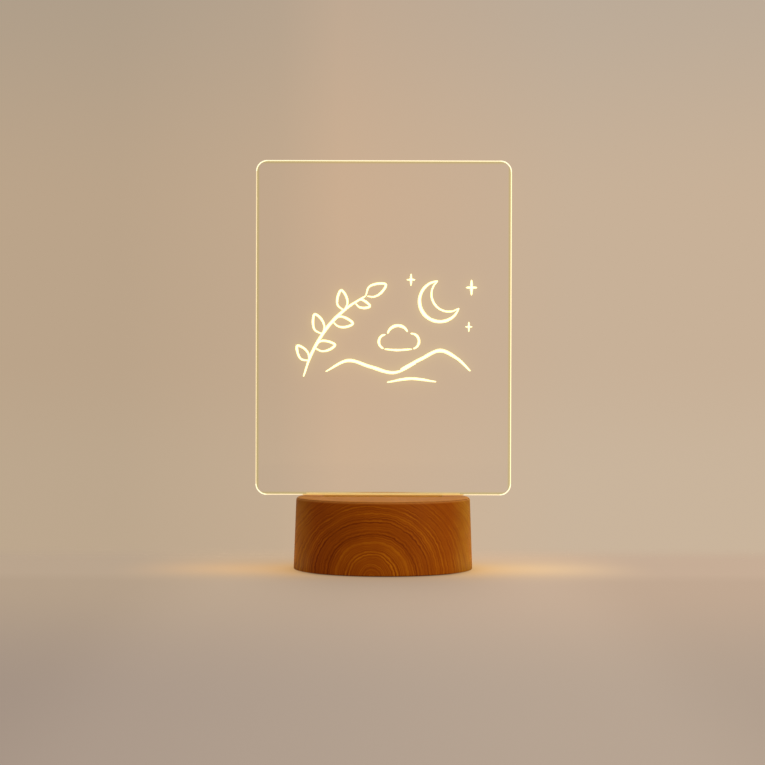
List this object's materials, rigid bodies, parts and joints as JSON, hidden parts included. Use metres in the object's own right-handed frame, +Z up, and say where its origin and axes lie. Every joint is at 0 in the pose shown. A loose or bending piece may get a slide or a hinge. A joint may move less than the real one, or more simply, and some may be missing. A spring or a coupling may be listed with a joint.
{
  "type": "lit note board",
  "caption": "Clear upright note panel in the slot of a round wood-grain base that lights its edges, with a rear push-button and power inlet and a battery door below.",
  "frame": {"origin": "middle of the footprint, on the table", "axes": "+X to the right seen from the front, +Y to the rear where the controls are, +Z up along the panel"},
  "size_m": [0.15, 0.105, 0.24],
  "materials": {
    "clear_acrylic": "polished clear acrylic sheet, its edges lit warm white",
    "marker_ink": "dried chalk marker strokes, lit warm white from inside the panel",
    "wood_grain_plastic": "satin moulded shell with an orange-brown wood-grain finish",
    "white_plastic": "natural white moulded plastic",
    "brown_plastic": "dark brown moulded plastic, fine spark texture",
    "dark_rubber": "matt rubber",
    "white_board": "white solder mask",
    "green_board": "green solder mask",
    "led_body": "yellow phosphor in a white package",
    "black_plastic": "black moulded plastic",
    "steel": "zinc-plated steel",
    "nickel": "bright nickel-plated sheet and wire",
    "cell_jacket": "plain printed cell jacket over a steel can",
    "red_wire": "red wire insulation",
    "black_wire": "black wire insulation"
  },
  "bodies": {
    "base": {"base_shell": "wood_grain_plastic", "panel_holder": "white_plastic", "holder_screw_1": "steel", "holder_screw_2": "steel", "led_board": "white_board", "led_1": "led_body", "led_2": "led_body", "led_3": "led_body", "led_4": "led_body", "led_5": "led_body", "led_6": "led_body", "led_7": "led_body", "led_8": "led_body", "led_board_screw_1": "steel", "led_board_screw_2": "steel", "control_board": "green_board", "control_chip": "black_plastic", "board_screw_1": "steel", "board_screw_2": "steel", "usb_socket": "nickel", "usb_tongue": "black_plastic", "switch_body": "black_plastic", "bottom_cover": "brown_plastic", "cover_screw_1": "steel", "cover_screw_2": "steel", "cover_screw_3": "steel", "cover_screw_4": "steel", "foot_1": "dark_rubber", "foot_2": "dark_rubber", "foot_3": "dark_rubber", "foot_4": "dark_rubber", "battery_1": "cell_jacket", "battery_2": "cell_jacket", "battery_3": "cell_jacket", "battery_spring_1": "nickel", "battery_spring_2": "nickel", "battery_spring_3": "nickel", "contact_first": "nickel", "contact_bridge_right": "nickel", "contact_bridge_left": "nickel", "contact_last": "nickel", "battery_lead_red": "red_wire", "battery_lead_black": "black_wire", "led_lead_red": "red_wire", "led_lead_black": "black_wire"},
    "panel": {"acrylic_panel": "clear_acrylic"},
    "power_button": {"button_cap": "brown_plastic", "switch_plunger": "white_plastic"},
    "battery_door": {"battery_door": "brown_plastic"}
  },
  "joints": [
    {"name": "panel_lift", "type": "slide", "parent": "base", "child": "panel", "axis": [0, 0, 1], "range_m": [0, 0.02]},
    {"name": "power_button_press", "type": "slide", "parent": "base", "child": "power_button", "axis": [0, -1, 0], "range_m": [0, 0.0015], "stiffness_N_per_m": 400, "springref_m": -0.0015},
    {"name": "battery_door_hinge", "type": "hinge", "parent": "base", "child": "battery_door", "pos_m": [-0.0307, 0, 0.00245], "axis": [0, 1, 0], "range_deg": [0, 50]}
  ]
}
